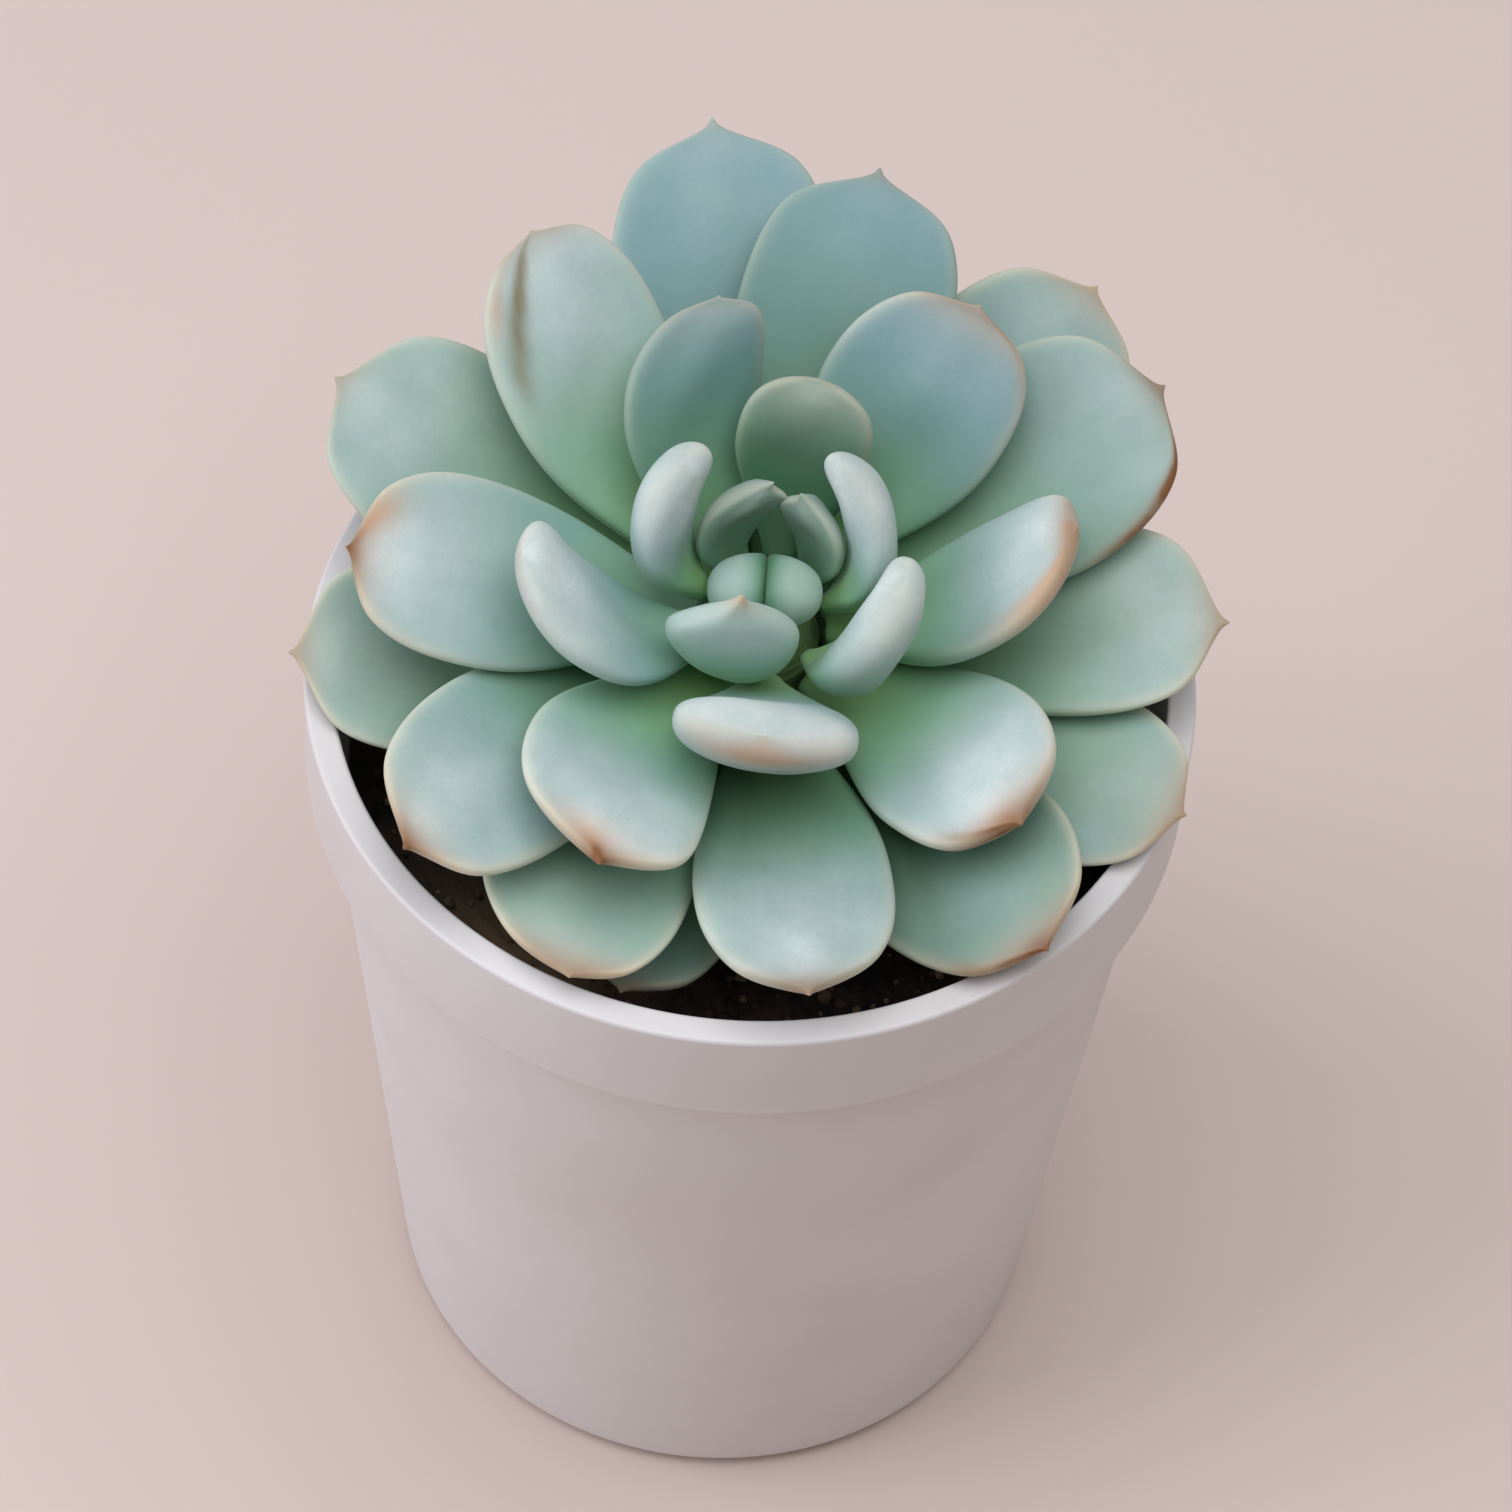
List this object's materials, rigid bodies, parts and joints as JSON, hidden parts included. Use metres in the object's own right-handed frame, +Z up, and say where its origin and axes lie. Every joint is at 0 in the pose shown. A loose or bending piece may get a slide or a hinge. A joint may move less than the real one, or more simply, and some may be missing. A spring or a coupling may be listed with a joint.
{
  "type": "potted succulent",
  "caption": "Rosette succulent with fleshy, pointed, grey-green leaves on a short stem, leaning in a tapered white pot with a raised rim band and dark soil.",
  "frame": {"origin": "centre of the flat foot that the pot stands on", "axes": "+Z up along the pot's axis, -Y towards the front, to which the rosette leans, +X to the right"},
  "size_m": [0.0935, 0.102, 0.1279],
  "materials": {
    "pot": "satin white moulded plastic",
    "soil": "dark, rough, crumbly potting soil",
    "stem": "smooth, matt green stem",
    "leaf": "waxy grey-green leaf skin with a pale bloom"
  },
  "bodies": {
    "root": {"pot": "pot", "soil": "soil", "stem": "stem", "leaf_low_front": "leaf", "leaf_low_front_left": "leaf", "leaf_low_left": "leaf", "leaf_low_back_left": "leaf", "leaf_low_back": "leaf", "leaf_low_back_right": "leaf", "leaf_low_right_back": "leaf", "leaf_low_right": "leaf", "leaf_low_front_right": "leaf", "leaf_outer_front": "leaf", "leaf_outer_left_front": "leaf", "leaf_outer_left_back": "leaf", "leaf_outer_back": "leaf", "leaf_outer_back_right": "leaf", "leaf_outer_right_back": "leaf", "leaf_outer_right": "leaf", "leaf_middle_left": "leaf", "leaf_middle_front_left": "leaf", "leaf_middle_front_right": "leaf", "leaf_middle_back_right": "leaf", "leaf_middle_back_left": "leaf", "leaf_middle_back": "leaf", "leaf_middle_right": "leaf", "leaf_inner_back": "leaf", "leaf_inner_left": "leaf", "leaf_inner_front": "leaf", "leaf_inner_front_right": "leaf", "leaf_inner_back_left": "leaf", "leaf_inner_back_right": "leaf", "leaf_bud_front": "leaf", "leaf_bud_back_left": "leaf", "leaf_bud_back_right": "leaf", "leaf_bud_left": "leaf", "leaf_bud_right": "leaf"}
  },
  "joints": []
}
